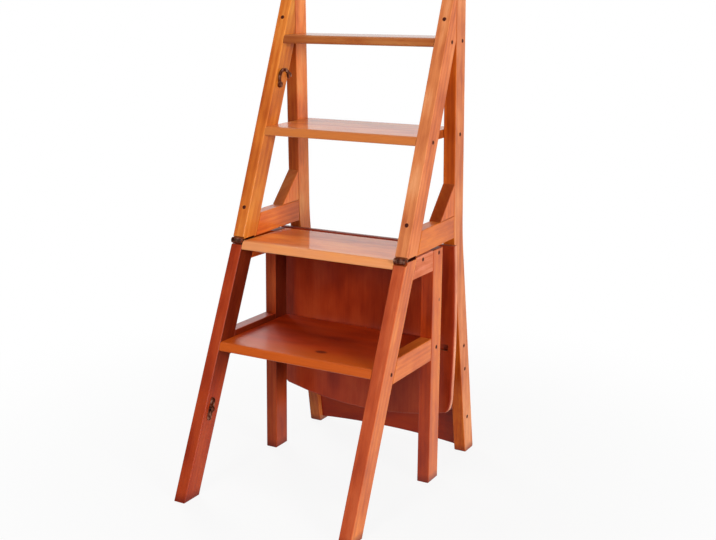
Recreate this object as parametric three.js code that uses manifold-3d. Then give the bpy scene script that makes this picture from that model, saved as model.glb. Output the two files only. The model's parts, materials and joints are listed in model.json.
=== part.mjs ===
// Folding step stool chair, standing as a four-step ladder.
// Two slatted wooden halves meet in a level joint at seat height. The upper half tips
// forward over a pair of hinges and lands upside down beside the lower half: its posts
// become the back legs and the chair's back, and a hinged seat panel covers both halves.
// Millimetres. +X runs across the width, -Y is the climbing side and +Z is up.
// The origin is on the floor, under the middle of the standing ladder.
import * as THREE from 'three';
import { mergeVertices } from 'three/addons/utils/BufferGeometryUtils.js';
import Module from 'manifold-3d';

const wasm = await Module();
wasm.setup();

const radians = THREE.MathUtils.degToRad;

// Driving dimensions of the whole chair
const SEAT_LEVEL = 450;
const FRAME_WIDTH = 366;
const STOCK = 24;
const SLANT = radians(23);
const REST_TILT = radians(2);
const LOWER_DEPTH = 150;
const RECLINE = radians(8.3);
const FIT = 0.3;
const SEAM = 0.6;
const ARRIS = 1.5;
const OVERRUN = 5;

// Timber sections
const STILE_WIDTH = 40;
const LEG_WIDTH = 40;
const POST_WIDTH = 40;
const STILE_TIP = 8;
const TOP_RAIL_DEPTH = 38;
const MID_RAIL_LEVEL = 242;
const MID_RAIL_DEPTH = 42;
const UPPER_RAIL_DEPTH = 42;
const BRACE_LEG = 60;
const POST_BEND = 500;
const FOOT_ROUND = 5;

// Steps
const STEP_THICKNESS = 16;
const STEP_NOSE = 5;
const LOWER_STEP_TOP = 273;
const THIRD_STEP_RISE = 187.5;
const FOURTH_STEP_RISE = 355.5;

// Chair back
const BACK_THICKNESS = 18;
const BACK_BOW = 12;
const CREST_HEIGHT = 78;
const CREST_INSET = 11;
const SLAT_HEIGHT = 72;
const SLAT_DROP = 218;

// Seat panel
const SEAT_THICKNESS = 13;
const SEAT_LENGTH = 352;
const SEAT_TAIL = 4;
const SEAT_BACK_OVERHANG = 10;
const SEAT_FRONT_OVERHANG = 9;
const SEAT_SIDE_SWELL = 7;
const SEAT_CORNER_IN = 17;
const SEAT_CORNER_BACK = 47;
const SEAT_FRONT_BOW = 23;
const SEAT_ARRIS = 3;
const SEAT_LIFT = 0.6;
const SEAT_RAIL_THICKNESS = 18;
const SEAT_RAIL_DEPTH = 38;

// Folding hinges between the halves
const KNUCKLE_RADIUS = 5.5;
const AXIS_FORWARD = 1.6;
const NOTCH_RADIUS = 8;
const LEAF_THICKNESS = 1.6;
const LEAF_REACH = 38;
const PIN_RADIUS = 2.4;
const PIN_HEAD_RADIUS = 4;
const PIN_HEAD_DEPTH = 1.4;

// Seat hinges
const SEAT_HINGE_WIDTH = 50;
const SEAT_HINGE_INSET = 64;
const SEAT_KNUCKLE_RADIUS = 3;
const SEAT_PIN_RADIUS = 1.3;
const SEAT_LEAF_THICKNESS = 1.2;
const SEAT_LEAF_REACH = 24;

// Latch that holds the folded halves together, on the left side frame
const LATCH_RISE = 279;
const KEEPER_LEVEL = 154;
const LATCH_INSET = 16;
const HOOK_THICKNESS = 2.5;
const HOOK_WIDTH = 6;
const HOOK_EYE_RADIUS = 6;
const HOOK_ARCH = 20;
const HOOK_STORED = radians(25);
const STUD_RADIUS = 3;
const STUD_HEAD_RADIUS = 5;
const STUD_HEAD_DEPTH = 1.6;
const PIVOT_RADIUS = 2.2;
const PLATE_THICKNESS = 1.5;
const PLATE_LENGTH = 42;
const PLATE_WIDTH = 13;

// Worked out once from the sizes above
const SIDE_CENTRE = (FRAME_WIDTH - STOCK) / 2;
const INNER_FACE = FRAME_WIDTH / 2 - STOCK;
const STEP_HALF = INNER_FACE - FIT;
const SEAT_HALF_BACK = FRAME_WIDTH / 2 + SEAT_BACK_OVERHANG;
const SEAT_HALF_FRONT = FRAME_WIDTH / 2 + SEAT_FRONT_OVERHANG;
const SEAT_HINGE_CENTRE = INNER_FACE - SEAT_HINGE_INSET;
const STILE_RUN = STILE_WIDTH / Math.cos(SLANT);
const SLANT_FIT = FIT / Math.cos(SLANT);
const LEG_FRONT = LOWER_DEPTH - LEG_WIDTH;
const POST_FRONT = frontAt(SEAT_LEVEL) + STILE_TIP;
const UPPER_DEPTH = POST_FRONT + POST_WIDTH;
const LEAF_BED = LEAF_THICKNESS + FIT;
const LEAF_WIDTH = STOCK - 2 * FIT;
const BARREL_WIDTH = LEAF_WIDTH - 2 * (PIN_HEAD_DEPTH + FIT);
const AXIS_LEVEL = SEAT_LEVEL + SEAM / 2;
const SIDES = [['left', -1], ['right', 1]];

// Front face of the slanted stiles: depth at a rise above or below the joint
function frontAt(rise) {
  return rise * Math.tan(SLANT);
}

// Colours and finishes
function material(color, roughness, metalness) {
  return new THREE.MeshStandardMaterial({ color, roughness, metalness });
}
const timber = () => material(0xb4532a, 0.35, 0);
const darkTimber = () => material(0x6e2416, 0.4, 0);
const bronze = () => material(0x4a3526, 0.45, 0.85);

function part(name, geometry, finish) {
  const mesh = new THREE.Mesh(geometry, finish);
  mesh.name = name;
  return mesh;
}

// Closed outline through corners given as [across, up, rounding]
function outline(corners) {
  const shape = new THREE.Shape();
  const points = corners.map(([a, b]) => new THREE.Vector2(a, b));
  corners.forEach(([, , rounding = 0], i) => {
    const corner = points[i];
    const before = points[(i + points.length - 1) % points.length];
    const after = points[(i + 1) % points.length];
    const start = corner.clone().add(before.clone().sub(corner).setLength(rounding));
    const end = corner.clone().add(after.clone().sub(corner).setLength(rounding));
    if (i === 0) {
      shape.moveTo(start.x, start.y);
    } else {
      shape.lineTo(start.x, start.y);
    }
    if (rounding > 0) {
      shape.quadraticCurveTo(corner.x, corner.y, end.x, end.y);
    }
  });
  shape.closePath();
  return shape;
}

// Extrusion centred on its own thickness, with eased edges
function board(shape, thickness, arris, curveSegments = 6) {
  const geometry = new THREE.ExtrudeGeometry(shape, {
    depth: thickness - 2 * arris,
    bevelEnabled: arris > 0,
    bevelThickness: arris,
    bevelSize: arris,
    bevelOffset: -arris,
    bevelSegments: 2,
    curveSegments,
  });
  return geometry.translate(0, 0, arris - thickness / 2);
}

// Outline drawn in depth and height, with its thickness across the chair
function sideBoard(shape, thickness, arris, curveSegments) {
  const turn = new THREE.Matrix4().makeBasis(
    new THREE.Vector3(0, 1, 0),
    new THREE.Vector3(0, 0, 1),
    new THREE.Vector3(1, 0, 0),
  );
  return board(shape, thickness, arris, curveSegments).applyMatrix4(turn);
}

function solid(geometry) {
  const bare = geometry.clone();
  bare.deleteAttribute('normal');
  bare.deleteAttribute('uv');
  const merged = mergeVertices(bare);
  return new wasm.Manifold(new wasm.Mesh({
    numProp: 3,
    vertProperties: merged.attributes.position.array,
    triVerts: Uint32Array.from(merged.index.array),
  }));
}

function geometryOf(body) {
  const mesh = body.getMesh();
  const geometry = new THREE.BufferGeometry();
  geometry.setAttribute('position', new THREE.BufferAttribute(mesh.vertProperties, 3));
  geometry.setIndex(new THREE.BufferAttribute(mesh.triVerts, 1));
  geometry.computeVertexNormals();
  return geometry;
}

function joined(...geometries) {
  return geometryOf(geometries.map(solid).reduce((sum, next) => sum.add(next)));
}

function cut(geometry, ...tools) {
  return geometryOf(tools.map(solid).reduce((left, tool) => left.subtract(tool), solid(geometry)));
}

// Rod along the width of the chair
function rod(radius, length, sides = 20) {
  return new THREE.CylinderGeometry(radius, radius, length, sides).rotateZ(Math.PI / 2);
}

// Turned piece from a profile of [radius, distance along the width] pairs
function turned(profile, sides = 20) {
  const points = profile.map(([radius, along]) => new THREE.Vector2(radius, along));
  return new THREE.LatheGeometry(points, sides).rotateZ(-Math.PI / 2);
}

// Round notch about the fold axis, cut into a stile's end so that the barrels sink in
function barrelNotch(level) {
  return rod(NOTCH_RADIUS, STOCK + OVERRUN, 28).translate(0, -AXIS_FORWARD, level);
}

// Lower half: two slanted stiles, two upright legs and two rails a side
function lowerStile() {
  const foot = frontAt(-SEAT_LEVEL);
  return cut(sideBoard(outline([
    [foot, 0],
    [foot + STILE_RUN, 0],
    [STILE_RUN, SEAT_LEVEL],
    [LEAF_REACH + FIT, SEAT_LEVEL],
    [LEAF_REACH + FIT, SEAT_LEVEL - LEAF_BED],
    [frontAt(-LEAF_BED), SEAT_LEVEL - LEAF_BED],
  ]), STOCK, ARRIS), barrelNotch(AXIS_LEVEL));
}

function lowerLeg() {
  return sideBoard(outline([
    [LEG_FRONT, 0],
    [LOWER_DEPTH, 0],
    [LOWER_DEPTH, SEAT_LEVEL],
    [LEG_FRONT, SEAT_LEVEL],
  ]), STOCK, ARRIS);
}

function lowerRail(bottom, top) {
  const behindStile = (level) => frontAt(level - SEAT_LEVEL) + STILE_RUN + SLANT_FIT;
  return sideBoard(outline([
    [behindStile(bottom), bottom],
    [LEG_FRONT - FIT, bottom],
    [LEG_FRONT - FIT, top],
    [behindStile(top), top],
  ]), STOCK, ARRIS);
}

// Step whose nose is flush with the slanted stiles, drawn from the joint's front edge
function step(rise, back) {
  const top = rise + STEP_THICKNESS;
  return sideBoard(outline([
    [frontAt(rise), rise, STEP_NOSE],
    [back, rise, ARRIS],
    [back, top, ARRIS],
    [frontAt(top), top, STEP_NOSE],
  ]), 2 * STEP_HALF, 0);
}

// Upper half, drawn from the front edge of its joint face
function upperStile() {
  const reachPost = POST_FRONT - FIT;
  const meeting = (reachPost - STILE_RUN) / Math.tan(SLANT);
  return cut(sideBoard(outline([
    [frontAt(LEAF_BED), LEAF_BED],
    [LEAF_REACH + FIT, LEAF_BED],
    [LEAF_REACH + FIT, 0],
    [STILE_RUN, 0],
    [reachPost, meeting],
    [reachPost, SEAT_LEVEL],
    [frontAt(SEAT_LEVEL), SEAT_LEVEL],
  ]), STOCK, ARRIS), barrelNotch(-SEAM / 2));
}

// Where a reclined line that crosses the joint at a given depth meets the floor at rest
function floorPoint(depth) {
  const aboveAxis = SEAM / 2 * Math.cos(REST_TILT) + (depth + AXIS_FORWARD) * Math.sin(REST_TILT);
  const level = AXIS_LEVEL + aboveAxis;
  const drop = level / (Math.cos(REST_TILT) - Math.tan(RECLINE) * Math.sin(REST_TILT));
  return [depth + drop * Math.tan(RECLINE), -drop];
}

function post() {
  const bend = POST_BEND * Math.tan(RECLINE / 2);
  return sideBoard(outline([
    [POST_FRONT, SEAT_LEVEL],
    [POST_FRONT, 0, bend],
    [...floorPoint(POST_FRONT), FOOT_ROUND],
    [...floorPoint(UPPER_DEPTH), FOOT_ROUND],
    [UPPER_DEPTH, 0, bend],
    [UPPER_DEPTH, SEAT_LEVEL],
  ]), STOCK, ARRIS);
}

function upperRail() {
  const behindStile = (rise) => frontAt(rise) + STILE_RUN + SLANT_FIT;
  return sideBoard(outline([
    [behindStile(0), 0],
    [POST_FRONT - FIT, 0],
    [POST_FRONT - FIT, UPPER_RAIL_DEPTH],
    [behindStile(UPPER_RAIL_DEPTH), UPPER_RAIL_DEPTH],
  ]), STOCK, ARRIS);
}

function cornerBrace() {
  const back = POST_FRONT - FIT;
  const base = UPPER_RAIL_DEPTH + FIT;
  return sideBoard(outline([
    [back - BRACE_LEG, base],
    [back, base],
    [back, base + BRACE_LEG],
  ]), STOCK, ARRIS);
}

// Back member bowed away from the sitter, drawn in width and depth
function bowedBoard(height) {
  const half = BACK_THICKNESS / 2;
  const shape = new THREE.Shape();
  shape.moveTo(-STEP_HALF, -half);
  shape.quadraticCurveTo(0, 2 * BACK_BOW - half, STEP_HALF, -half);
  shape.lineTo(STEP_HALF, half);
  shape.quadraticCurveTo(0, 2 * BACK_BOW + half, -STEP_HALF, half);
  shape.closePath();
  return board(shape, height, ARRIS, 12);
}

// Hinge leaf with its knuckles on the axis, drawn from the axis; side is +1 above it
const KNUCKLE_LENGTH = (BARREL_WIDTH - 2 * FIT) / 3;
const KNUCKLE_PITCH = KNUCKLE_LENGTH + FIT;

function knuckle(radius, bore, length, arms, offset) {
  const ring = sideBoard(new THREE.Shape().absarc(0, 0, radius, 0, 2 * Math.PI), length, 0, 20);
  const bars = arms.map((arm) => sideBoard(arm, length, 0));
  return cut(joined(ring, ...bars), rod(bore, length + OVERRUN)).translate(offset, 0, 0);
}

function foldLeaf(side, offsets) {
  const near = side * SEAM / 2;
  const far = side * (SEAM / 2 + LEAF_THICKNESS);
  const root = KNUCKLE_RADIUS + FIT;
  const plate = sideBoard(outline([
    [root, near],
    [AXIS_FORWARD + LEAF_REACH, near],
    [AXIS_FORWARD + LEAF_REACH, far],
    [root, far],
  ]), LEAF_WIDTH, 0);
  const arm = outline([
    [0, near],
    [root + OVERRUN, near],
    [root + OVERRUN, far],
    [0, far],
  ]);
  const knuckles = offsets.map((offset) => (
    knuckle(KNUCKLE_RADIUS, PIN_RADIUS + FIT, KNUCKLE_LENGTH, [arm], offset)
  ));
  return joined(plate, ...knuckles);
}

function hingePin(radius, length, headRadius, headDepth) {
  const end = length / 2 + FIT;
  const rim = headRadius / 2;
  return turned([
    [0, -end - headDepth],
    [rim, -end - headDepth],
    [headRadius, -end - headDepth / 2],
    [headRadius, -end],
    [radius, -end],
    [radius, end],
    [headRadius, end],
    [headRadius, end + headDepth / 2],
    [rim, end + headDepth],
    [0, end + headDepth],
  ]);
}

// Seat hinge, drawn from its axis: one leaf on the rail behind, one on the seat's edge
const SEAT_KNUCKLE_LENGTH = (SEAT_HINGE_WIDTH - 2 * FIT) / 3;
const SEAT_KNUCKLE_PITCH = SEAT_KNUCKLE_LENGTH + FIT;
const SEAT_FACE = -SEAT_LEAF_THICKNESS - FIT;
const SEAT_RAIL_FACE = SEAT_LEAF_THICKNESS + 2 * FIT;

function seatHingeLeaf(front, offsets) {
  const root = SEAT_KNUCKLE_RADIUS + FIT;
  const back = front + SEAT_LEAF_THICKNESS;
  const plate = sideBoard(outline([
    [front, -SEAT_LEAF_REACH],
    [back, -SEAT_LEAF_REACH],
    [back, -root],
    [front, -root],
  ]), SEAT_HINGE_WIDTH, 0);
  const arm = outline([
    [front, -SEAT_LEAF_REACH / 2],
    [back, -SEAT_LEAF_REACH / 2],
    [back, 0],
    [front, 0],
  ]);
  const knuckles = offsets.map((offset) => (
    knuckle(SEAT_KNUCKLE_RADIUS, SEAT_PIN_RADIUS + FIT, SEAT_KNUCKLE_LENGTH, [arm], offset)
  ));
  return joined(plate, ...knuckles);
}

// Seat panel hanging from its hinge axis. Housings in its underside clear the folding
// hinges, and shallow grooves take the barrels of its own hinges.
const SEAT_AXIS_RISE = SEAT_LIFT + SEAT_THICKNESS - SEAT_FACE;
const SEAT_BACK_SET = POST_FRONT - SEAM - SEAT_TAIL;
const HOUSING_HALF = KNUCKLE_RADIUS + 2 * FIT;
const HOUSING_LENGTH = STOCK;
const GROOVE_RADIUS = SEAT_KNUCKLE_RADIUS + 2 * FIT;
const GROOVE_LENGTH = SEAT_HINGE_WIDTH + 2 * (FIT + PIN_HEAD_DEPTH + FIT);

function seatPanel() {
  const shoulder = SEAT_LENGTH - SEAT_FRONT_BOW;
  const corner = SEAT_LENGTH - SEAT_CORNER_BACK - SEAT_FRONT_BOW;
  const nose = SEAT_HALF_FRONT - SEAT_CORNER_IN;
  const middle = (corner - SEAT_TAIL) / 2;
  const swell = (SEAT_HALF_BACK + SEAT_HALF_FRONT) / 2 + SEAT_SIDE_SWELL;
  const shape = new THREE.Shape();
  shape.moveTo(-SEAT_HALF_BACK, SEAT_TAIL);
  shape.quadraticCurveTo(-swell, -middle, -SEAT_HALF_FRONT, -corner);
  shape.quadraticCurveTo(-SEAT_HALF_FRONT, -shoulder, -nose, -shoulder);
  shape.quadraticCurveTo(0, -shoulder - 2 * SEAT_FRONT_BOW, nose, -shoulder);
  shape.quadraticCurveTo(SEAT_HALF_FRONT, -shoulder, SEAT_HALF_FRONT, -corner);
  shape.quadraticCurveTo(swell, -middle, SEAT_HALF_BACK, SEAT_TAIL);
  shape.closePath();
  const panel = board(shape, SEAT_THICKNESS, SEAT_ARRIS, 8).rotateX(Math.PI / 2);
  panel.translate(0, SEAT_FACE - SEAT_THICKNESS / 2, 0);
  const foldAxis = [SEAM / 2 - SEAT_AXIS_RISE, -SEAT_BACK_SET - AXIS_FORWARD];
  const housing = outline([
    [-HOUSING_HALF, -HOUSING_HALF],
    [HOUSING_HALF, -HOUSING_HALF],
    [HOUSING_HALF, HOUSING_HALF],
    [-HOUSING_HALF, HOUSING_HALF],
  ]);
  const housings = SIDES.map(([, sign]) => (
    sideBoard(housing, HOUSING_LENGTH, 0).translate(sign * SIDE_CENTRE, ...foldAxis)
  ));
  const grooves = SIDES.map(([, sign]) => (
    rod(GROOVE_RADIUS, GROOVE_LENGTH).translate(sign * SEAT_HINGE_CENTRE, 0, 0)
  ));
  return cut(panel, ...housings, ...grooves);
}

// Latch: the hook turns on a shouldered screw and drops over a headed stud
const HOOK_PLANE = -INNER_FACE + FIT + PLATE_THICKNESS + FIT + HOOK_THICKNESS / 2;
const LATCH_PIVOT = [frontAt(LATCH_RISE) + LATCH_INSET / Math.cos(SLANT), LATCH_RISE];
const KEEPER = [frontAt(KEEPER_LEVEL - SEAT_LEVEL) + LATCH_INSET / Math.cos(SLANT), KEEPER_LEVEL];
const FOLDED_KEEPER = [-KEEPER[0] - 2 * AXIS_FORWARD, SEAT_LEVEL - KEEPER_LEVEL];
const HOOK_REACH = Math.hypot(
  FOLDED_KEEPER[0] - LATCH_PIVOT[0],
  FOLDED_KEEPER[1] - LATCH_PIVOT[1],
);

function latchHook() {
  const half = HOOK_WIDTH / 2;
  const mouth = STUD_RADIUS + FIT;
  const span = HOOK_REACH / 2;
  const arm = new THREE.Shape();
  arm.moveTo(HOOK_REACH + half, 0);
  arm.absellipse(span, 0, span + half, HOOK_ARCH + half, 0, Math.PI);
  arm.absellipse(span, 0, span - half, HOOK_ARCH - half, Math.PI, 0, true);
  arm.closePath();
  const disc = (radius, along) => new THREE.Shape().absarc(along, 0, radius, 0, 2 * Math.PI);
  const flare = HOOK_WIDTH / 4;
  const throat = outline([
    [HOOK_REACH - mouth, 0],
    [HOOK_REACH - mouth - flare, -2 * HOOK_WIDTH],
    [HOOK_REACH + mouth, -2 * HOOK_WIDTH],
    [HOOK_REACH + mouth, 0],
  ]);
  const blank = joined(
    sideBoard(arm, HOOK_THICKNESS, 0, 12),
    sideBoard(disc(HOOK_EYE_RADIUS, 0), HOOK_THICKNESS, 0, 20),
    sideBoard(disc(mouth + HOOK_WIDTH / 2, HOOK_REACH), HOOK_THICKNESS, 0, 20),
  );
  return cut(
    blank,
    rod(PIVOT_RADIUS + FIT, HOOK_THICKNESS + OVERRUN),
    rod(mouth, HOOK_THICKNESS + OVERRUN).translate(0, HOOK_REACH, 0),
    sideBoard(throat, HOOK_THICKNESS + OVERRUN, 0),
  );
}

// Headed stud standing on a side frame's inner face, drawn from that face
function stud(baseRadius, shankRadius) {
  const base = FIT + PLATE_THICKNESS;
  const grip = base + HOOK_THICKNESS + 2 * FIT;
  return turned([
    [0, FIT],
    [baseRadius, FIT],
    [baseRadius, base],
    [shankRadius, base],
    [shankRadius, grip],
    [STUD_HEAD_RADIUS, grip],
    [STUD_HEAD_RADIUS, grip + STUD_HEAD_DEPTH / 2],
    [STUD_HEAD_RADIUS / 2, grip + STUD_HEAD_DEPTH],
    [0, grip + STUD_HEAD_DEPTH],
  ]);
}

function keeper() {
  const end = PLATE_LENGTH / 2;
  const side = PLATE_WIDTH / 2;
  const plate = sideBoard(outline([
    [-side, -end, side],
    [side, -end, side],
    [side, end, side],
    [-side, end, side],
  ]), PLATE_THICKNESS, 0);
  plate.rotateX(-SLANT);
  plate.translate(FIT + PLATE_THICKNESS / 2, 0, 0);
  return joined(plate, stud(STUD_RADIUS, STUD_RADIUS));
}

// Assembly: the lower half stands on the floor
const chair = new THREE.Group();
const lower = new THREE.Group();
chair.add(lower);

SIDES.forEach(([side, sign]) => {
  const frame = new THREE.Group();
  frame.position.x = sign * SIDE_CENTRE;
  frame.add(part(`lower_stile_${side}`, lowerStile(), timber()));
  frame.add(part(`lower_leg_${side}`, lowerLeg(), timber()));
  const topRail = lowerRail(SEAT_LEVEL - TOP_RAIL_DEPTH, SEAT_LEVEL);
  const midRail = lowerRail(MID_RAIL_LEVEL, MID_RAIL_LEVEL + MID_RAIL_DEPTH);
  frame.add(part(`lower_top_rail_${side}`, topRail, timber()));
  frame.add(part(`lower_mid_rail_${side}`, midRail, timber()));
  const leaf = part(`fold_hinge_leaf_lower_${side}`, foldLeaf(
    -1, [-KNUCKLE_PITCH, KNUCKLE_PITCH],
  ), bronze());
  const pin = part(`fold_hinge_pin_${side}`, hingePin(
    PIN_RADIUS, BARREL_WIDTH, PIN_HEAD_RADIUS, PIN_HEAD_DEPTH,
  ), bronze());
  leaf.position.set(0, -AXIS_FORWARD, AXIS_LEVEL);
  pin.position.copy(leaf.position);
  frame.add(leaf, pin);
  lower.add(frame);
});

const secondStep = part('step_2_top', step(-STEP_THICKNESS, LOWER_DEPTH), timber());
secondStep.position.z = SEAT_LEVEL;
const firstDrop = LOWER_STEP_TOP - STEP_THICKNESS - SEAT_LEVEL;
const firstStep = part('step_1_lower', step(firstDrop, LOWER_DEPTH), timber());
firstStep.position.z = SEAT_LEVEL;
const keeperPlate = part('latch_keeper', keeper(), bronze());
keeperPlate.position.set(-INNER_FACE, KEEPER[0], KEEPER[1]);
lower.add(secondStep, firstStep, keeperPlate);

// The upper half tips about the hinge axis and rests on the ends of its posts
const upper = new THREE.Group();
upper.position.set(0, -AXIS_FORWARD, AXIS_LEVEL);
upper.rotation.x = REST_TILT;
chair.add(upper);

const upperFrame = new THREE.Group();
upperFrame.position.set(0, AXIS_FORWARD, SEAM / 2);
upper.add(upperFrame);

SIDES.forEach(([side, sign]) => {
  const frame = new THREE.Group();
  frame.position.x = sign * SIDE_CENTRE;
  frame.add(part(`upper_stile_${side}`, upperStile(), timber()));
  frame.add(part(`back_post_${side}`, post(), timber()));
  frame.add(part(`upper_rail_${side}`, upperRail(), timber()));
  frame.add(part(`corner_brace_${side}`, cornerBrace(), timber()));
  upperFrame.add(frame);
  const leaf = part(`fold_hinge_leaf_upper_${side}`, foldLeaf(1, [0]), bronze());
  leaf.position.x = sign * SIDE_CENTRE;
  upper.add(leaf);
});

upperFrame.add(part('step_3', step(THIRD_STEP_RISE, UPPER_DEPTH), timber()));
upperFrame.add(part('step_4_narrow', step(FOURTH_STEP_RISE, UPPER_DEPTH), timber()));

// Crest rail and slat lie in the plane of the reclined posts
const backPlane = new THREE.Group();
backPlane.position.y = UPPER_DEPTH - POST_WIDTH / 2;
backPlane.rotation.x = RECLINE;
upperFrame.add(backPlane);
const crest = part('crest_rail', bowedBoard(CREST_HEIGHT), timber());
const postEnd = floorPoint(backPlane.position.y)[1] / Math.cos(RECLINE);
crest.position.z = postEnd + CREST_INSET + CREST_HEIGHT / 2;
const slat = part('back_slat', bowedBoard(SLAT_HEIGHT), timber());
slat.position.z = -SLAT_DROP - SLAT_HEIGHT / 2;
backPlane.add(crest, slat);

// Seat and its hinges
const seatAxis = new THREE.Vector3(0, SEAT_BACK_SET, -SEAT_AXIS_RISE);
const seatRail = part('seat_hinge_rail', sideBoard(outline([
  [SEAT_RAIL_FACE, -SEAT_RAIL_DEPTH, ARRIS],
  [SEAT_RAIL_FACE + SEAT_RAIL_THICKNESS, -SEAT_RAIL_DEPTH, ARRIS],
  [SEAT_RAIL_FACE + SEAT_RAIL_THICKNESS, -SEAT_KNUCKLE_RADIUS, ARRIS],
  [SEAT_RAIL_FACE, -SEAT_KNUCKLE_RADIUS, ARRIS],
]), 2 * STEP_HALF, 0), timber());
seatRail.position.copy(seatAxis);
upperFrame.add(seatRail);

const seat = new THREE.Group();
seat.position.copy(seatAxis);
seat.rotation.x = -REST_TILT / 2;
seat.add(part('seat_panel', seatPanel(), darkTimber()));
upperFrame.add(seat);

SIDES.forEach(([side, sign]) => {
  const fixedLeaf = part(`seat_hinge_rail_leaf_${side}`, seatHingeLeaf(
    FIT, [-SEAT_KNUCKLE_PITCH, SEAT_KNUCKLE_PITCH],
  ), bronze());
  const pin = part(`seat_hinge_pin_${side}`, hingePin(
    SEAT_PIN_RADIUS, SEAT_HINGE_WIDTH, SEAT_KNUCKLE_RADIUS - FIT, PIN_HEAD_DEPTH,
  ), bronze());
  fixedLeaf.position.set(sign * SEAT_HINGE_CENTRE, seatAxis.y, seatAxis.z);
  pin.position.copy(fixedLeaf.position);
  upperFrame.add(fixedLeaf, pin);
  const movingLeaf = part(`seat_hinge_seat_leaf_${side}`, seatHingeLeaf(
    -SEAT_LEAF_THICKNESS, [0],
  ), bronze());
  movingLeaf.position.x = sign * SEAT_HINGE_CENTRE;
  seat.add(movingLeaf);
});

// Latch hook, stored across the stile with its arch upward
const pivot = part('latch_pivot', stud(HOOK_EYE_RADIUS, PIVOT_RADIUS), bronze());
pivot.position.set(-INNER_FACE, LATCH_PIVOT[0], LATCH_PIVOT[1]);
const hook = part('latch_hook', latchHook(), bronze());
hook.position.set(HOOK_PLANE, LATCH_PIVOT[0], LATCH_PIVOT[1]);
hook.rotation.x = HOOK_STORED;
upperFrame.add(pivot, hook);

// Stand the origin under the middle of the ladder
const reach = new THREE.Box3().setFromObject(chair, true);
chair.position.y = -(reach.min.y + reach.max.y) / 2;
chair.updateMatrixWorld(true);

export default chair;
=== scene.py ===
# %% [markdown]
# # A folding step stool chair, dressed in wood, varnish and bronze
#
# The solids come from the CAD model and stay where they are. This lesson gives them their
# finish: a camera and soft light first, then the varnished wood, board by board, then the
# darkened bronze of the hinges and the latch, and last the screws.

# %% The solids
import json
import math

import bpy
from mathutils import Matrix, Vector


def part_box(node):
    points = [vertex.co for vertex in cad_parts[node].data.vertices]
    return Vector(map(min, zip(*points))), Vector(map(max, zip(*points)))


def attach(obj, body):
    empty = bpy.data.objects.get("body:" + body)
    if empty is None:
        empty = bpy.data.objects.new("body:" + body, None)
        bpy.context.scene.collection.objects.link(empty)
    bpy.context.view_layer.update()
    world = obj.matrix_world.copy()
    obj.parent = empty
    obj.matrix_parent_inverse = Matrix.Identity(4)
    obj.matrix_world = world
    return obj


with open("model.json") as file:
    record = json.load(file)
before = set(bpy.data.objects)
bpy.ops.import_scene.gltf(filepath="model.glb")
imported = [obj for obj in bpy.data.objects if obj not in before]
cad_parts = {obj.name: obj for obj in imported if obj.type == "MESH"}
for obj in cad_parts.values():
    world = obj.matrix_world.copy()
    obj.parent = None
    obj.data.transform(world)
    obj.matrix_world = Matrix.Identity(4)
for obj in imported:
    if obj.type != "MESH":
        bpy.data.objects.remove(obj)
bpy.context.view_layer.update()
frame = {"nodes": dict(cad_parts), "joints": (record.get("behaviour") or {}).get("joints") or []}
nodes = frame["nodes"]

# %% [markdown]
# The picture was taken from the front right, a little above the seat. A camera can be placed
# by eye, or by solving for the place from which the stool's edges fall where they do in the
# picture. The solved camera is used, because slender slanted legs show every degree.
# The lens's axis doesn't pass through the middle of the frame, which is what the shift says.

# %% The camera
EYE = Vector((1.00045, -1.70643, 0.86816))
TURN = math.radians(28.857)
LOOK_DOWN = math.radians(11.515)
ROLL = math.radians(0.583)
FILM_WIDTH = 36.0
FOCAL_LENGTH = 54.87
FILM_SHIFT = (-0.00614, -0.04725)
STOOL_MIDDLE = Vector((0, 0, 0.45))

camera = bpy.data.objects.new("camera", bpy.data.cameras.new("camera"))
camera.data.sensor_fit = "HORIZONTAL"
camera.data.sensor_width = FILM_WIDTH
camera.data.lens = FOCAL_LENGTH
camera.data.shift_x, camera.data.shift_y = FILM_SHIFT
camera.matrix_world = (
    Matrix.Translation(EYE)
    @ Matrix.Rotation(TURN, 4, "Z")
    @ Matrix.Rotation(math.pi / 2 - LOOK_DOWN, 4, "X")
    @ Matrix.Rotation(ROLL, 4, "Z")
)
bpy.context.scene.collection.objects.link(camera)
bpy.context.scene.camera = camera
bpy.context.scene.view_settings.view_transform = "Standard"
print("camera", round((EYE - STOOL_MIDDLE).length, 2), "m from the stool")

# %% [markdown]
# Every finish is a tree of shader nodes. A few helpers keep the trees short: one adds a node
# together with what feeds it, the others do sums, blend two colours and spread a tone over
# a scale of colours.

# %% Helpers for node trees
def node(tree, kind, inputs=None, **settings):
    """Adds a node. An input is a plain value, or the socket that feeds it."""
    made = tree.nodes.new(kind)
    for name, value in settings.items():
        setattr(made, name, value)
    for name, value in (inputs or {}).items():
        socket = made.inputs[name]
        if isinstance(value, bpy.types.NodeSocket):
            tree.links.new(value, socket)
        else:
            socket.default_value = value
    return made


def maths(tree, operation, first, second=0.0, third=0.0):
    made = node(tree, "ShaderNodeMath", {0: first, 1: second, 2: third}, operation=operation)
    return made.outputs[0]


def blended(tree, factor, first, second):
    """Mixes two colours. The mix node knows its colour sockets by number only."""
    made = node(tree, "ShaderNodeMix", {0: factor, 6: first, 7: second}, data_type="RGBA")
    return made.outputs[2]


def ramp(tree, factor, stops):
    made = node(tree, "ShaderNodeValToRGB", {"Fac": factor})
    band = made.color_ramp
    while len(band.elements) < len(stops):
        band.elements.new(0.5)
    for element, (position, colour) in zip(band.elements, stops):
        element.position = position
        element.color = (*colour, 1.0)
    return made.outputs["Color"]


def new_finish(name):
    finish = bpy.data.materials.new(name)
    finish.use_nodes = True
    return finish, finish.node_tree, finish.node_tree.nodes["Principled BSDF"]


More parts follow.
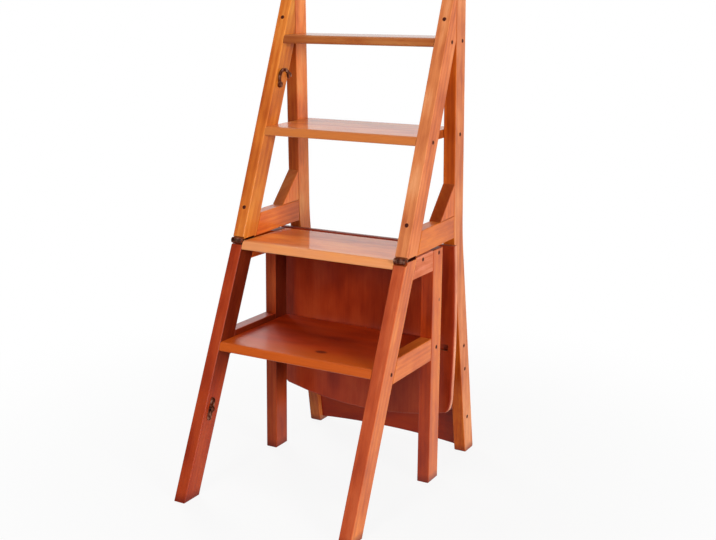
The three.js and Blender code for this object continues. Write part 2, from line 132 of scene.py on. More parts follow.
# %% [markdown]
# Four more helpers make masks. A mask is a value from 0 to 1 that says where something
# happens: between two heights, on faces that look one way, in the spots of a noise, or along
# an edge. The edge is found by comparing the flat normal with one that is rounded over a
# small radius, since the two differ only where the surface bends.

# %% Helpers for masks
def between(tree, value, start, end, low=0.0, high=1.0, soft=False):
    """Leads from low to high while the value runs from start to end."""
    return node(tree, "ShaderNodeMapRange", {
        "Value": value, "From Min": start, "From Max": end, "To Min": low, "To Max": high,
    }, interpolation_type="SMOOTHSTEP" if soft else "LINEAR").outputs["Result"]


def part_of(tree, vector, axis):
    return node(tree, "ShaderNodeSeparateXYZ", {0: vector}).outputs[axis]


def noise(tree, place, fineness, detail=2.0, roughness=0.5):
    """Noise with its own fineness along each axis, in spots per metre."""
    spread = node(tree, "ShaderNodeMapping", {"Vector": place, "Scale": fineness}).outputs[0]
    return node(tree, "ShaderNodeTexNoise", {
        "Vector": spread, "Scale": 1.0, "Detail": detail, "Roughness": roughness,
    }).outputs["Fac"]


def edge_of(tree, radius, start, end):
    rounded = node(tree, "ShaderNodeBevel", {"Radius": radius}, samples=4).outputs[0]
    flat = node(tree, "ShaderNodeNewGeometry").outputs["Normal"]
    agree = node(tree, "ShaderNodeVectorMath", {0: rounded, 1: flat},
                 operation="DOT_PRODUCT").outputs["Value"]
    return between(tree, agree, start, end)


# %% [markdown]
# The stool stands on a pale floor in white surroundings. A white card behind it would need
# much light, which would also fall on the wood. Instead the floor and the surroundings are
# white only where the camera or a mirror-like surface looks at them. The floor stays an
# ordinary pale surface near the feet, so that it keeps their soft shadow. In front of the
# stool its mirror image is dimmer, or the varnish would look milky.

# %% The floor
FLOOR_HALF = 12.0
FLOOR_COLOUR = (0.55, 0.55, 0.54, 1)
WHITE_AT_FEET = 0.9
MIRRORED_IN_FRONT = 0.25


def who_looks(tree):
    """Masks for rays that see the white, mirrored ones too, and for the camera's alone."""
    ray = node(tree, "ShaderNodeLightPath").outputs
    seen = maths(tree, "MAXIMUM", ray["Is Camera Ray"], ray["Is Glossy Ray"])
    seen = maths(tree, "MAXIMUM", seen, ray["Is Transmission Ray"])
    return seen, ray["Is Camera Ray"]


floor_mesh = bpy.data.meshes.new("floor")
floor_mesh.from_pydata(
    [(-FLOOR_HALF, -FLOOR_HALF, 0), (FLOOR_HALF, -FLOOR_HALF, 0),
     (FLOOR_HALF, FLOOR_HALF, 0), (-FLOOR_HALF, FLOOR_HALF, 0)],
    [], [(0, 1, 2, 3)],
)
floor = bpy.data.objects.new("floor", floor_mesh)
bpy.context.scene.collection.objects.link(floor)

pale_floor, tree, shader = new_finish("pale_floor")
shader.inputs["Base Color"].default_value = FLOOR_COLOUR
shader.inputs["Roughness"].default_value = 0.7
place = node(tree, "ShaderNodeTexCoord").outputs["Object"]
away = node(tree, "ShaderNodeVectorMath", {0: place}, operation="LENGTH").outputs["Value"]
fade = between(tree, away, 0.3, 1.2, low=WHITE_AT_FEET, soft=True)
seen, by_camera = who_looks(tree)
mirrored = between(tree, part_of(tree, place, "Y"), -0.9, 0.2, low=MIRRORED_IN_FRONT, soft=True)
strength = maths(tree, "MAXIMUM", mirrored, by_camera)
white = node(tree, "ShaderNodeEmission", {"Color": (1, 1, 1, 1), "Strength": strength})
either = node(tree, "ShaderNodeMixShader", {
    0: maths(tree, "MULTIPLY", seen, fade), 1: shader.outputs[0], 2: white.outputs[0],
})
tree.links.new(either.outputs[0], tree.nodes["Material Output"].inputs["Surface"])
floor.data.materials.append(pale_floor)
print("floor", 2 * FLOOR_HALF, "m square")

# %% [markdown]
# The surroundings work alike. They give little light of their own, look white to the
# camera, and are mirrored white only behind and beside the stool.

# %% The surroundings
SKY_LIGHT = 0.16
DIM_SIDE = 0.15
BRIGHT_WAY = (0.45, 0.85, 0.1)

world = bpy.data.worlds.new("white surroundings")
bpy.context.scene.world = world
world.use_nodes = True
tree = world.node_tree
seen, by_camera = who_looks(tree)
way = node(tree, "ShaderNodeTexCoord").outputs["Generated"]
behind = node(tree, "ShaderNodeVectorMath", {0: way, 1: BRIGHT_WAY},
              operation="DOT_PRODUCT").outputs["Value"]
mirrored = between(tree, behind, -0.5, 0.25, low=DIM_SIDE, soft=True)
mirrored = maths(tree, "MAXIMUM", mirrored, by_camera)
more = maths(tree, "SUBTRACT", mirrored, SKY_LIGHT)
strength = maths(tree, "MULTIPLY_ADD", seen, more, SKY_LIGHT)
tree.links.new(strength, tree.nodes["Background"].inputs["Strength"])
tree.nodes["Background"].inputs["Color"].default_value = (1, 1, 1, 1)
print("ambient light", SKY_LIGHT)

# %% [markdown]
# In the picture the faces that look to the right are the lightest, the stiles' fronts come
# next, and the legs behind the stiles are dark. One lamp could light the front and the side
# together, but it would light the legs too. So a far lamp stands at the right, where its
# light is even from frame to frame, and a narrow one in front hides the legs in the stiles'
# own shade. A soft one above lights the noses of the steps and leaves the seat dark, and a
# weak one behind keeps the back readable when the stool is turned round.

# %% Lamps
LAMP_AIM = Vector((0, 0, 0.5))
LAMPS = {
    "right_lamp": {"at": (4.8, -2.2, 1.35), "size": (1.8, 1.8), "watts": 225},
    "front_lamp": {"at": (0.0, -2.8, 1.6), "size": (0.5, 1.3), "watts": 31},
    "top_lamp": {"at": (0.2, -0.3, 3.1), "size": (1.0, 1.0), "watts": 22},
    "back_lamp": {"at": (-3.2, 2.2, 1.5), "size": (1.6, 1.6), "watts": 85},
}


def soft_lamp(name, at, size, watts):
    lamp = bpy.data.lights.new(name, "AREA")
    lamp.shape = "RECTANGLE"
    lamp.size, lamp.size_y = size
    lamp.energy = watts
    holder = bpy.data.objects.new(name, lamp)
    direction = LAMP_AIM - Vector(at)
    holder.matrix_world = (
        Matrix.Translation(at) @ direction.to_track_quat("-Z", "Y").to_matrix().to_4x4()
    )
    bpy.context.scene.collection.objects.link(holder)


for name, lamp in LAMPS.items():
    soft_lamp(name, **lamp)
print(len(LAMPS), "soft lamps")

# %% [markdown]
# ## Varnished wood
#
# The frame is cut from a close-grained hardwood, stained orange brown and varnished. Wood
# could be painted on with pictures, or built in space: rings around a pith, stretched
# fibres and fine pores. Built in space, the figure runs through each stick as in a real
# one, so that end grain and long grain come out right by themselves.
#
# Each board gets its own finish because its grain runs its own way: the run turns the
# patterns until their long axis lies along the stick. The same patterns then drive the
# colour, the roughness and the relief, which is why they are made first and kept together.

# %% The grain
RING_SCALE = 36.0
RING_STRETCH = 0.1
FIBRES = (380, 380, 11)
PORES = (1400, 1400, 60)
BLOTCHES = (30, 30, 11)
FLOW_MARKS = (70, 70, 18)


def grain(tree, run, pith):
    """The patterns of one board, by name."""
    given = node(tree, "ShaderNodeTexCoord").outputs
    along = node(tree, "ShaderNodeMapping", {
        "Vector": given["Object"], "Rotation": run,
    }).outputs[0]
    about_pith = node(tree, "ShaderNodeMapping", {
        "Vector": along, "Location": pith, "Scale": (1, 1, RING_STRETCH),
    }).outputs[0]
    rings = node(tree, "ShaderNodeTexWave", {
        "Vector": about_pith, "Scale": RING_SCALE, "Distortion": 7.0, "Detail": 2.0,
        "Detail Scale": 0.25,
    }, wave_type="RINGS", rings_direction="Z", wave_profile="SIN").outputs["Fac"]
    return {
        "place": given["Object"],
        "facing": given["Normal"],
        "rings": rings,
        "fibre": noise(tree, along, FIBRES, detail=3.0, roughness=0.6),
        "pores": between(tree, noise(tree, along, PORES, detail=0.0), 0.62, 0.74),
        "blotches": noise(tree, along, BLOTCHES),
        "flow": noise(tree, along, FLOW_MARKS, detail=1.0),
    }


# %% [markdown]
# A stain is given by its middle tone. It sinks deeper into soft wood, so each has a deep and
# a pale tone too, and the rings, the fibres and large blotches choose between the three.
# A stick may have a second tone on its sides. It paints light and shade: the sides lit by
# the lamps come out lighter than the fronts that lie in shade. A third tone paints shade on
# the faces of the left frame that look right. That one comes with two heights, between which it
# sets in.

# %% The stain
FIBRE_SHARE = 0.5
BLOTCH_SHARE = 1.3
PORE_SHARE = 0.35


def shades(warm):
    """The deep and the pale tone that go with the main tone of a stain."""
    red, green, blue = warm
    return ((red * 0.66, green * 0.46, blue * 0.4),
            (min(red * 1.22, 0.9), green * 1.65, blue * 2.2))


def stained(tree, tone, warm):
    deep, pale = shades(warm)
    return ramp(tree, tone, [(0.12, deep), (0.5, warm), (0.88, pale)])


def stained_and_lit_faces(tree, wood, figure, warm, side, painted_shade):
    """Stains the front, paints light on the sides and paints shade on faces that look right."""
    tone = maths(tree, "MULTIPLY_ADD", wood["rings"], figure, 0.5 - figure / 2)
    for pattern, share in (("fibre", FIBRE_SHARE), ("blotches", BLOTCH_SHARE)):
        swing = maths(tree, "SUBTRACT", wood[pattern], 0.5)
        tone = maths(tree, "MULTIPLY_ADD", swing, share, tone)
    colour = stained(tree, tone, warm)
    # Painted light and shade: the sides get a lighter tone of their own than the fronts.
    if side:
        fore_and_aft = maths(tree, "ABSOLUTE", part_of(tree, wood["facing"], "Y"))
        aside = between(tree, fore_and_aft, 0.6, 0.2)
        colour = blended(tree, aside, colour, stained(tree, tone, side))
    # Painted shade: faces that look right are darkened between two heights.
    if painted_shade:
        shade_tone, low, high = painted_shade
        to_right = between(tree, part_of(tree, wood["facing"], "X"), 0.5, 0.9)
        high_up = between(tree, part_of(tree, wood["place"], "Z"), low, high, soft=True)
        painted_shade_mask = maths(tree, "MULTIPLY", to_right, high_up)
        colour = blended(tree, painted_shade_mask, colour, stained(tree, tone, shade_tone))
    deep, _ = shades(warm)
    return blended(tree, maths(tree, "MULTIPLY", wood["pores"], PORE_SHARE), colour, (*deep, 1))


# %% [markdown]
# Use leaves its marks. End grain drinks the stain and turns dark. The lowest millimetres of
# the feet are darker too. Shoes rub the noses of the steps to a tone of their own, which also
# paints the light on them. Knots are small dark ellipsoids in space, and the fibres make
# their rims uneven.

# %% Marks of use, darker feet and painted light on the noses
FOOT_DARK_HEIGHT = 0.010
FOOT_DARK_END = -0.004
FOOT_DARK_SWING = -0.012
NOSE_SWING = 0.03


def soaked(tree, wood, run, warm, colour):
    deep, _ = shades(warm)
    dark = (deep[0] * 0.62, deep[1] * 0.5, deep[2] * 0.5, 1)
    turned = node(tree, "ShaderNodeMapping", {"Vector": wood["facing"], "Rotation": run},
                  vector_type="VECTOR").outputs[0]
    end_on = maths(tree, "ABSOLUTE", part_of(tree, turned, "Z"))
    end_on = maths(tree, "POWER", end_on, 2.0)
    colour = blended(tree, maths(tree, "MULTIPLY", end_on, 0.8), colour, dark)
    # The lowest millimetres of the feet are darkened, up to a height the fibres make uneven.
    level = part_of(tree, wood["place"], "Z")
    uneven = maths(tree, "MULTIPLY_ADD", wood["fibre"], FOOT_DARK_SWING, level)
    foot_dark = between(tree, uneven, FOOT_DARK_HEIGHT, FOOT_DARK_END)
    return blended(tree, maths(tree, "MULTIPLY", foot_dark, 0.85), colour, dark)


def trodden_and_lit(tree, wood, nose_at, reach, rubbed_and_lit, colour):
    """Tones a step from its nose back, over a reach that the blotches make uneven: wear and
    painted light.
    """
    depth = part_of(tree, wood["place"], "Y")
    uneven = maths(tree, "MULTIPLY_ADD", wood["blotches"], NOSE_SWING, depth)
    start = nose_at + NOSE_SWING / 2
    near = between(tree, uneven, start + reach, start, soft=True)
    streaks = maths(tree, "MULTIPLY_ADD", wood["fibre"], 0.5, 0.55)
    return blended(tree, maths(tree, "MULTIPLY", near, streaks), colour, (*rubbed_and_lit, 1))


def knotted(tree, wood, warm, centre, half, colour):
    """Darkens an ellipsoid, given by its centre and its half widths in metres."""
    deep, _ = shades(warm)
    from_centre = node(tree, "ShaderNodeMapping", {
        "Vector": wood["place"], "Location": [-c for c in centre],
    }).outputs[0]
    spread = node(tree, "ShaderNodeMapping", {
        "Vector": from_centre, "Scale": [1 / h for h in half],
    }).outputs[0]
    far = node(tree, "ShaderNodeVectorMath", {0: spread}, operation="LENGTH").outputs["Value"]
    swing = maths(tree, "SUBTRACT", wood["fibre"], 0.5)
    far = maths(tree, "MULTIPLY_ADD", swing, 0.5, far)
    core = between(tree, far, 0.7, 1.35, low=0.85, high=0.0, soft=True)
    return blended(tree, core, colour, (deep[0] * 0.35, deep[1] * 0.3, deep[2] * 0.3, 1))


# %% [markdown]
# Varnish is a clear coat over the wood. Fibres and pores print through it as a faint relief,
# and it lies in shallow waves, its flow marks. Edges are the first to lose it: there the
# wood is paler and duller, more in some blotches than in others. A stick without a coat
# gets no mirror image at all.

# %% Varnish and the whole finish
EDGE_RADIUS = 0.0022
RELIEF_DEPTH = 0.0004


def worn_edges(tree, wood, edge, warm, colour):
    _, pale = shades(warm)
    rub = maths(tree, "MULTIPLY", edge, maths(tree, "MULTIPLY_ADD", wood["blotches"], 1.4, -0.25))
    rub = node(tree, "ShaderNodeClamp", {"Value": rub}).outputs[0]
    worn = (min(pale[0] * 1.15, 0.9), pale[1] * 1.35, pale[2] * 1.6, 1)
    return rub, blended(tree, maths(tree, "MULTIPLY", rub, 0.6), colour, worn)


def relief_of(tree, wood):
    height = maths(tree, "MULTIPLY", wood["pores"], -0.6)
    height = maths(tree, "MULTIPLY_ADD", wood["fibre"], 0.25, height)
    height = maths(tree, "MULTIPLY_ADD", wood["flow"], 0.5, height)
    return node(tree, "ShaderNodeBump", {
        "Height": height, "Strength": 0.35, "Distance": RELIEF_DEPTH,
    }).outputs[0]


def varnished_wood(name, run, pith, warm, figure=0.14, gloss=0.14, coat=0.4, knots=(),
                   nose=None, side=None, painted_shade=None):
    """The whole finish of one board. A higher gloss value means a blurrier mirror image."""
    finish, tree, shader = new_finish(name)
    wood = grain(tree, run, pith)
    colour = stained_and_lit_faces(tree, wood, figure, warm, side, painted_shade)
    colour = soaked(tree, wood, run, warm, colour)
    if nose:
        colour = trodden_and_lit(tree, wood, *nose, colour)
    for knot in knots:
        colour = knotted(tree, wood, warm, *knot, colour)
    edge = edge_of(tree, EDGE_RADIUS, 0.99, 0.8)
    rub, colour = worn_edges(tree, wood, edge, warm, colour)
    rough = maths(tree, "MULTIPLY_ADD", wood["fibre"], 0.16, 0.34)
    rough = maths(tree, "MULTIPLY_ADD", rub, 0.15, rough)
    tree.links.new(colour, shader.inputs["Base Color"])
    tree.links.new(rough, shader.inputs["Roughness"])
    tree.links.new(relief_of(tree, wood), shader.inputs["Normal"])
    shader.inputs["Specular IOR Level"].default_value = 0.15 if coat else 0.0
    shader.inputs["Coat Weight"].default_value = coat
    coat_left = maths(tree, "MULTIPLY_ADD", edge, -coat, coat)
    tree.links.new(coat_left, shader.inputs["Coat Weight"])
    shader.inputs["Coat Roughness"].default_value = gloss
    shader.inputs["Coat IOR"].default_value = 1.5
    return finish


# %% [markdown]
# The sticks fall into families by the way their grain runs. Slanted stiles follow the slant,
# legs stand upright, posts bend at the joint, rails run front to back and boards run across.

# %% Which way the grain runs
SLANT = math.radians(23)
REST_TILT = math.radians(2)
UPRIGHT = (0, 0, 0)
ACROSS = (0, math.radians(-90), 0)
LEVEL = (math.radians(90), 0, 0)
LEVEL_LEANT = (math.radians(90) - REST_TILT, 0, 0)


def leaning(angle):
    """Turn that lays the pattern's long axis along a stick leaning back by this angle."""
    return (angle, 0, 0)


def dress(names, finish):
    for name in names:
        for slot in nodes[name].material_slots:
            slot.material = finish
    print(finish.name, "on", ", ".join(names))


# %% [markdown]
# The upper half is the lighter one. Its left frame looks warmer than its right one. The
# right stile is stained paler and bluer, which paints the sheen of the white surroundings on
# its outer faces. The right brace is stained darker, which paints the shade it stands in behind
# its stile.

# %% Finishes of the upper half
dress(["upper_stile_left"], varnished_wood(
    "wood_upper_stile_left", leaning(SLANT - REST_TILT), (0.05, 0.09, 0.3),
    (0.60, 0.148, 0.019), side=(0.60, 0.168, 0.018), coat=0.12))
# Painted sheen: the right stile's paler, bluer tones.
dress(["upper_stile_right"], varnished_wood(
    "wood_upper_stile_right", leaning(SLANT - REST_TILT), (-0.05, 0.07, 0.2),
    (0.64, 0.200, 0.064), side=(0.71, 0.178, 0.042), coat=0.15))
dress(["back_post_left"], varnished_wood(
    "wood_back_post_left", leaning(-REST_TILT), (-0.04, -0.09, 0.0), (0.46, 0.090, 0.010),
    side=(0.84, 0.235, 0.055), coat=0.2))
dress(["back_post_right"], varnished_wood(
    "wood_back_post_right", leaning(-REST_TILT), (0.05, -0.08, 0.3), (0.55, 0.096, 0.006),
    side=(0.69, 0.195, 0.054), coat=0.15))
dress(["upper_rail_left"], varnished_wood(
    "wood_upper_rail_left", LEVEL_LEANT, (0.06, 0.02, 0.0),
    (0.64, 0.130, 0.009)))
dress(["upper_rail_right"], varnished_wood(
    "wood_upper_rail_right", LEVEL_LEANT, (-0.05, 0.06, 0.3),
    (0.70, 0.156, 0.013), figure=0.08, coat=0.3))
dress(["corner_brace_left"], varnished_wood(
    "wood_brace_left", UPRIGHT, (0.05, 0.05, 0.0), (0.64, 0.175, 0.032),
    side=(0.85, 0.195, 0.025), figure=0.08))
# Painted shade: the right brace's darker stain.
dress(["corner_brace_right"], varnished_wood(
    "wood_brace_right", UPRIGHT, (-0.05, 0.06, 0.2), (0.43, 0.076, 0.011),
    side=(0.68, 0.142, 0.021), figure=0.08, coat=0.2))

# %% [markdown]
# The lower half is redder. Its left frame stands in the shade of the right one, and that
# shade is painted onto the faces of its stile, leg and mid rail that look right. Its hidden
# joints were never polished, so the top rails get no gloss.

# %% Finishes of the lower half
LEG_KNOT = ((0.183, 0.0735, 0.352), (0.004, 0.0022, 0.0032))

# Painted shade on the faces that look right, with the two heights it sets in between.
dress(["lower_stile_left"], varnished_wood(
    "wood_lower_stile_left", leaning(SLANT), (0.07, -0.06, 0.1), (0.36, 0.036, 0.005),
    painted_shade=((0.12, 0.012, 0.002), 0.17, 0.26), gloss=0.35, coat=0.2))
dress(["lower_stile_right"], varnished_wood(
    "wood_lower_stile_right", leaning(SLANT), (0.02, -0.09, 0.6), (0.465, 0.070, 0.016),
    side=(0.65, 0.132, 0.016)))
dress(["lower_leg_left"], varnished_wood(
    "wood_lower_leg_left", UPRIGHT, (0.09, -0.05, 0.4), (0.39, 0.050, 0.007),
    painted_shade=((0.10, 0.009, 0.002), 0.08, 0.19), coat=0.12))
dress(["lower_leg_right"], varnished_wood(
    "wood_lower_leg_right", UPRIGHT, (0.03, 0.05, 0.2), (0.42, 0.042, 0.004),
    side=(0.63, 0.118, 0.010), knots=[LEG_KNOT]))
dress(["lower_top_rail_right"], varnished_wood(
    "wood_top_rail_right", LEVEL, (0.05, 0.03, 0.5), (0.70, 0.205, 0.100), coat=0.0))
dress(["lower_mid_rail_right"], varnished_wood(
    "wood_mid_rail_right", LEVEL, (-0.05, 0.04, 0.2), (0.67, 0.135, 0.013)))
dress(["lower_top_rail_left"], varnished_wood(
    "wood_top_rail_left", LEVEL, (0.04, -0.05, 0.9), (0.44, 0.060, 0.008), coat=0.0))
dress(["lower_mid_rail_left"], varnished_wood(
    "wood_mid_rail_left", LEVEL, (-0.04, 0.05, 0.6), (0.36, 0.036, 0.006),
    painted_shade=((0.10, 0.008, 0.001), 0.15, 0.2)))

# %% [markdown]
# The boards run across. The upper steps are the glossiest faces, because they lie nearly edge
# on to the viewer and mirror what is behind the stool. The lowest is trodden the most: it is
# duller, and its nose tone reaches further back. Each nose tone is wear and painted light: a
# highlight on the top step, and on the lowest the lit strip in front of the step above, whose
# shade its dark tone paints. The seat and the chair's back are stained dark, which paints the
# shade they hang in, and the seat's sides get a paler tone that paints the light on its rim.

# %% Finishes of the boards
LOWER_NOSE = -0.1457
TOP_NOSE = -0.0706
THIRD_NOSE = 0.0091
STEP_KNOT = ((0.0315, -0.0976, 0.273), (0.011, 0.0065, 0.02))

dress(["step_3"], varnished_wood(
    "wood_third_step", ACROSS, (0.04, 0.07, 0.0), (0.68, 0.170, 0.025), gloss=0.1, coat=0.65,
    nose=(THIRD_NOSE, 0.03, (0.56, 0.172, 0.038))))
dress(["step_4_narrow"], varnished_wood(
    "wood_fourth_step", ACROSS, (-0.07, 0.03, 0.4), (0.37, 0.095, 0.018), gloss=0.1, coat=0.65))
# Painted highlight and wear in the top step's pale nose tone.
dress(["step_2_top"], varnished_wood(
    "wood_top_step", ACROSS, (0.06, -0.05, 0.7), (0.78, 0.195, 0.018), gloss=0.08, coat=0.65,
    nose=(TOP_NOSE, 0.03, (0.77, 0.315, 0.13))))
# Painted shade in the dark tone, painted light in the nose tone reaching 9 cm back.
dress(["step_1_lower"], varnished_wood(
    "wood_lower_step", ACROSS, (0.05, 0.04, 1.1), (0.39, 0.030, 0.002), gloss=0.25, coat=0.35,
    knots=[STEP_KNOT], nose=(LOWER_NOSE, 0.09, (0.56, 0.100, 0.006))))
# Painted shade: the back's dark stain.
dress(["crest_rail", "back_slat", "seat_hinge_rail"], varnished_wood(
    "wood_back", ACROSS, (0.02, 0.08, 0.2), (0.29, 0.021, 0.001), coat=0.08))
# Painted shade in the seat's dark stain, painted light in the paler tone on its sides.
dress(["seat_panel"], varnished_wood(
    "wood_seat", UPRIGHT, (0.09, -0.03, 0.4), (0.33, 0.031, 0.005), figure=0.05, coat=0.2,
    side=(0.88, 0.33, 0.17)))

# %% [markdown]
# ## Darkened bronze
#
# Hinges, pins, hook and keeper are brass that was browned. A metal of one colour looks like
# plastic, so the browning is patchy, and it is rubbed through to brass along the edges. The
# leaves lie in the joint, where nothing rubs them, and behind the barrels they are painted
# dark: unrubbed browning, and painted shade of the closed joint. The screws are dark steel,
# dusty rather than shiny, and painted dark enough to stand for the shaded counterbores too.

# %% The metals
RUBBED_BRASS = (0.66, 0.42, 0.30, 1)
METAL_EDGE = 0.0012
JOINT_SHADE_FADE = 0.003
NO_JOINT_SHADE = 1.0


def browned_bronze(name, dark, brown, light, joint_shade_from=NO_JOINT_SHADE):
    finish, tree, shader = new_finish(name)
    place = node(tree, "ShaderNodeTexCoord").outputs["Object"]
    patches = noise(tree, place, (110, 110, 110), detail=3.0)
    colour = ramp(tree, patches, [(0.3, dark), (0.5, brown), (0.7, light)])
    rub = maths(tree, "MULTIPLY", edge_of(tree, METAL_EDGE, 0.98, 0.75), patches)
    colour = blended(tree, rub, colour, RUBBED_BRASS)
    # Painted shade of the closed joint, with unrubbed browning: the leaves darken behind the
    # barrels.
    joint_shade = between(tree, part_of(tree, place, "Y"), joint_shade_from, joint_shade_from + JOINT_SHADE_FADE)
    colour = blended(tree, joint_shade, colour, (dark[0] * 0.4, dark[1] * 0.4, dark[2] * 0.4, 1))
    rough = maths(tree, "MULTIPLY_ADD", patches, 0.35, 0.22)
    scratches = noise(tree, place, (900, 120, 120))
    relief = node(tree, "ShaderNodeBump", {
        "Height": maths(tree, "MULTIPLY_ADD", patches, 0.6, scratches), "Strength": 0.3,
        "Distance": 0.0002,
    }).outputs[0]
    tree.links.new(colour, shader.inputs["Base Color"])
    tree.links.new(rough, shader.inputs["Roughness"])
    tree.links.new(relief, shader.inputs["Normal"])
    shader.inputs["Metallic"].default_value = 0.97
    shader.inputs["Specular IOR Level"].default_value = 0.2
    shader.inputs["Specular Tint"].default_value = (0.55, 0.3, 0.22, 1)
    return finish


def shaded_dark_steel(name):
    finish, tree, shader = new_finish(name)
    place = node(tree, "ShaderNodeTexCoord").outputs["Object"]
    dust = noise(tree, place, (700, 700, 700), detail=3.0)
    # The near-black reddish tones paint the shade of a counterbore as well as the steel.
    colour = ramp(tree, dust, [(0.35, (0.045, 0.006, 0.003)), (0.7, (0.10, 0.018, 0.008))])
    tree.links.new(colour, shader.inputs["Base Color"])
    tree.links.new(maths(tree, "MULTIPLY_ADD", dust, 0.3, 0.5), shader.inputs["Roughness"])
    shader.inputs["Specular IOR Level"].default_value = 0.12
    return finish


# %% [markdown]
# The fold hinges sit in the front edge of the joint, so their leaves get painted shade behind
# the barrels. The seat hinges lie open in the chair form and keep their tone. The latch is the
# darkest.

# %% Who wears which metal
BROWNED = ((0.07, 0.016, 0.009), (0.19, 0.058, 0.034), (0.42, 0.20, 0.14))
DARKER = ((0.035, 0.008, 0.004), (0.12, 0.032, 0.017), (0.46, 0.24, 0.17))
BEHIND_BARRELS = -0.060


def starting_with(*beginnings):
    return [name for name in nodes if name.startswith(beginnings)]


steel = shaded_dark_steel("shaded_dark_steel")
dress(starting_with("fold_hinge"),
      browned_bronze("bronze_fold_hinges", *BROWNED, joint_shade_from=BEHIND_BARRELS))
dress(starting_with("seat_hinge_seat_leaf", "seat_hinge_rail_leaf", "seat_hinge_pin"),
      browned_bronze("bronze_seat_hinges", *BROWNED))
dress(starting_with("latch"), browned_bronze("dark_bronze", *DARKER))

# %% [markdown]
# ## Screws
#
# The frame is screwed through its sides, and the heads sit in the wood as dark dots. Each
# head could be modelled on its own, but they are all alike: one head is drawn once, with
# its cross cut out, and Geometry Nodes set a copy on each marked point, turned as chance
# left it. The points carry the way each screw faces.

# %% One screw head
def cross_head(tree, given):
    """A low cone with two slots cut across its top."""
    height, width, length = given["Head Height"], given["Slot Width"], given["Slot Length"]
    cut = node(tree, "GeometryNodeMeshCone", {
        "Vertices": 20, "Side Segments": 1,
        "Radius Top": maths(tree, "MULTIPLY", given["Head Radius"], 0.78),
        "Radius Bottom": given["Head Radius"], "Depth": height,
    }).outputs["Mesh"]
    for across, along in ((width, length), (length, width)):
        size = node(tree, "ShaderNodeCombineXYZ", {"X": across, "Y": along, "Z": height})
        bar = node(tree, "GeometryNodeMeshCube", {"Size": size.outputs[0]}).outputs["Mesh"]
        lift = node(tree, "ShaderNodeCombineXYZ", {"Z": maths(tree, "MULTIPLY", height, 0.8)})
        bar = node(tree, "GeometryNodeTransform", {
            "Geometry": bar, "Translation": lift.outputs[0],
        }).outputs[0]
        cut = node(tree, "GeometryNodeMeshBoolean", {"Mesh 1": cut, "Mesh 2": bar},
                   operation="DIFFERENCE", solver="EXACT").outputs["Mesh"]
    return cut


# %% [markdown]
# The tree around it takes the points, turns a copy of the head to face outward at each,
# spins it by chance with a fixed seed, and makes real geometry of the copies.

# %% One tree for every screw
SCREW_SIZES = {"Head Radius": 0.0038, "Head Height": 0.0005, "Slot Width": 0.0009,
               "Slot Length": 0.0042}
SEED = 4


def screw_tree(finish):
    tree = bpy.data.node_groups.new("screw heads", "GeometryNodeTree")
    face = tree.interface
    face.new_socket("Geometry", in_out="INPUT", socket_type="NodeSocketGeometry")
    for name, value in SCREW_SIZES.items():
        face.new_socket(name, in_out="INPUT", socket_type="NodeSocketFloat").default_value = value
    face.new_socket("Seed", in_out="INPUT", socket_type="NodeSocketInt").default_value = SEED
    face.new_socket("Geometry", in_out="OUTPUT", socket_type="NodeSocketGeometry")
    given = node(tree, "NodeGroupInput").outputs
    facing = node(tree, "GeometryNodeInputNamedAttribute", {"Name": "facing"},
                  data_type="FLOAT_VECTOR").outputs["Attribute"]
    outward = node(tree, "FunctionNodeAlignRotationToVector", {"Vector": facing},
                   axis="Z").outputs[0]
    chance = node(tree, "FunctionNodeRandomValue", {
        "Min": Vector((0, 0, 0)), "Max": Vector((0, 0, math.pi)), "Seed": given["Seed"],
    }, data_type="FLOAT_VECTOR").outputs["Value"]
    spin = node(tree, "FunctionNodeEulerToRotation", {0: chance}).outputs[0]
    pose = node(tree, "FunctionNodeRotateRotation", {"Rotation": outward, "Rotate By": spin},
                rotation_space="LOCAL").outputs[0]
    placed = node(tree, "GeometryNodeInstanceOnPoints", {
        "Points": given["Geometry"], "Instance": cross_head(tree, given), "Rotation": pose,
    }).outputs[0]
    real = node(tree, "GeometryNodeRealizeInstances", {"Geometry": placed}).outputs[0]
    painted = node(tree, "GeometryNodeSetMaterial", {"Geometry": real, "Material": finish})
    end = node(tree, "NodeGroupOutput")
    tree.links.new(painted.outputs[0], end.inputs[0])
    return tree


screws = screw_tree(steel)
print("screw tree of", len(screws.nodes), "nodes")

# %% [markdown]
# Each set of screws becomes one plain mesh that rides on the body it is driven into. The
# sizes are set before the tree is first evaluated, and the helper with the points goes.

# %% From points to screws
def screw_heads(name, body, points, **sizes):
    mesh = bpy.data.meshes.new(name)
    mesh.from_pydata([at for at, _ in points], [], [])
    facing = mesh.attributes.new("facing", "FLOAT_VECTOR", "POINT")
    for item, (_, way) in zip(facing.data, points):
        item.vector = way
    holder = bpy.data.objects.new(name + "_points", mesh)
    bpy.context.scene.collection.objects.link(holder)
    modifier = holder.modifiers.new("screws", "NODES")
    modifier.node_group = screws
    for item in screws.interface.items_tree:
        if item.in_out == "INPUT" and item.name in sizes:
            modifier[item.identifier] = sizes[item.name]
    shown = holder.evaluated_get(bpy.context.evaluated_depsgraph_get())
    plain = bpy.data.meshes.new_from_object(shown)
    bpy.data.objects.remove(holder)
    piece = bpy.data.objects.new(name, plain)
    bpy.context.scene.collection.objects.link(piece)
    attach(piece, body)
    print(name, len(points), "screws,", len(plain.polygons), "faces")


# %% [markdown]
# The marked points lie where the picture shows the dots: in the thickness of each step's
# end, where rails meet stiles, and where the chair's back meets its posts. Both side frames
# are alike. A point on the upper half is given by its depth and rise from the joint's front
# edge and then leant back with that half.

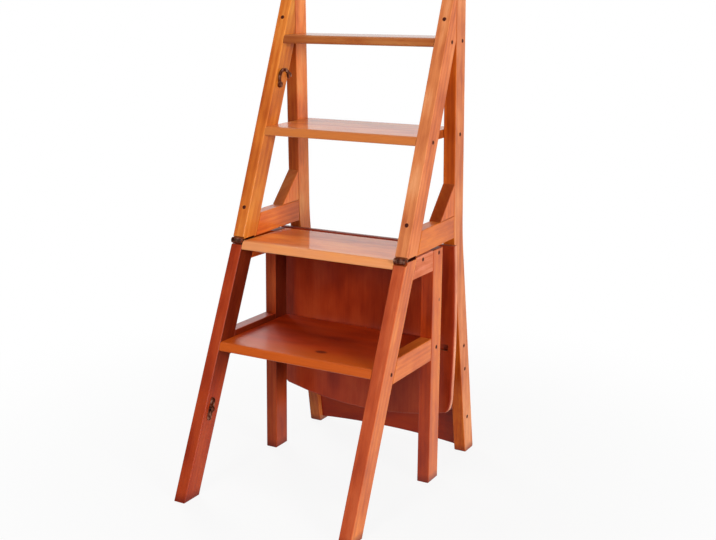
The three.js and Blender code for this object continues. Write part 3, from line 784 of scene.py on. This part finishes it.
# %% Screws of the frames
hinge = Vector(next(j for j in frame["joints"] if j["name"] == "fold")["pos_m"])
AXIS_TO_EDGE = 0.0016
HALF_SEAM = 0.0003
OUTER_FACE = 0.183
FRAME_CENTRE = 0.171
LOWER_MARKS = ((0.001, 0.442), (0.068, 0.442), (-0.1145, 0.261), (0.066, 0.263))
STEP_MARKS = ((0.1794, 0.3635), (0.2254, 0.3635), (0.1038, 0.193), (0.2204, 0.193))
BACK_MARKS = ((0.195, 0.2312), (0.203, 0.1813), (0.222, 0.075))
STILE_RISES = (0.058, 0.404)


def leant(vector):
    """Leans a vector back with the upper half."""
    return Matrix.Rotation(REST_TILT, 3, "X") @ Vector(vector)


def on_upper(across, depth, rise):
    return hinge + leant((across, depth + AXIS_TO_EDGE, rise + HALF_SEAM))


lower_points = []
upper_points = []
for side in (-1, 1):
    face, way = side * OUTER_FACE, (side, 0, 0)
    for depth, level in LOWER_MARKS:
        lower_points.append((Vector((face, depth, level)), way))
    for depth, rise in STEP_MARKS:
        upper_points.append((on_upper(face, depth, rise), way))
    for depth, level in BACK_MARKS:
        upper_points.append((Vector((face, depth, level)), way))
    slant_way = leant((0, -math.cos(SLANT), math.sin(SLANT)))
    for rise in STILE_RISES:
        at = on_upper(side * FRAME_CENTRE, rise * math.tan(SLANT), rise)
        upper_points.append((at, slant_way))
screw_heads("frame_screws_lower", "base", lower_points)
screw_heads("frame_screws_upper", "upper", upper_points)

# %% [markdown]
# The hinge leaves and the keeper are held by smaller screws, countersunk until they stand a
# tenth of a millimetre proud. More would foul the other leaf, or the hook when it drops over
# the keeper's stud. They are the same heads with other sizes.

# %% Small screws of the fold hinges
SMALL = {"Head Radius": 0.0027, "Head Height": 0.0002, "Slot Width": 0.0006,
         "Slot Length": 0.0032}
LEAF_MARKS = ((0.013, 0.005), (0.0225, -0.005), (0.032, 0.005))

leaf_lower = []
leaf_upper = []
for side in (-1, 1):
    for reach, aside in LEAF_MARKS:
        across = side * (FRAME_CENTRE + aside)
        leaf_lower.append((hinge + Vector((across, reach, -HALF_SEAM)), (0, 0, 1)))
        leaf_upper.append((on_upper(across, reach - AXIS_TO_EDGE, 0.0), leant((0, 0, -1))))
screw_heads("hinge_screws_lower", "base", leaf_lower, **SMALL)
screw_heads("hinge_screws_upper", "upper", leaf_upper, **SMALL)

# %% [markdown]
# The seat hinges have three screws to a leaf, at the same places on both leaves. The keeper
# has two, above and below its stud along the slanted stile.

# %% Small screws of the seat hinges and the keeper
SEAT_LEAF_BACK = 0.12998
RAIL_LEAF_FRONT = 0.13047
SEAT_SCREWS_ACROSS = (0.079, 0.095, 0.111)
SEAT_SCREWS_LEVEL = 0.425
PLATE_FACE = -0.1572
KEEPER_SHIFT = 0.0145

seat_leaf = []
rail_leaf = []
for side in (-1, 1):
    for across in SEAT_SCREWS_ACROSS:
        spot = Vector((side * across, SEAT_LEAF_BACK, SEAT_SCREWS_LEVEL))
        seat_leaf.append((spot, (0, 1, 0)))
        spot = Vector((side * across, RAIL_LEAF_FRONT, SEAT_SCREWS_LEVEL))
        rail_leaf.append((spot, leant((0, -1, 0))))
screw_heads("seat_hinge_screws_seat", "seat", seat_leaf, **SMALL)
screw_heads("seat_hinge_screws_rail", "upper", rail_leaf, **SMALL)

low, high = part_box("latch_keeper")
keeper = (Vector(low) + Vector(high)) / 2
slant = Vector((0, math.sin(SLANT), math.cos(SLANT)))
keeper_points = [
    (Vector((PLATE_FACE, keeper.y, keeper.z)) + shift * slant, (1, 0, 0))
    for shift in (-KEEPER_SHIFT, KEEPER_SHIFT)
]
screw_heads("keeper_screws", "base", keeper_points, **SMALL)
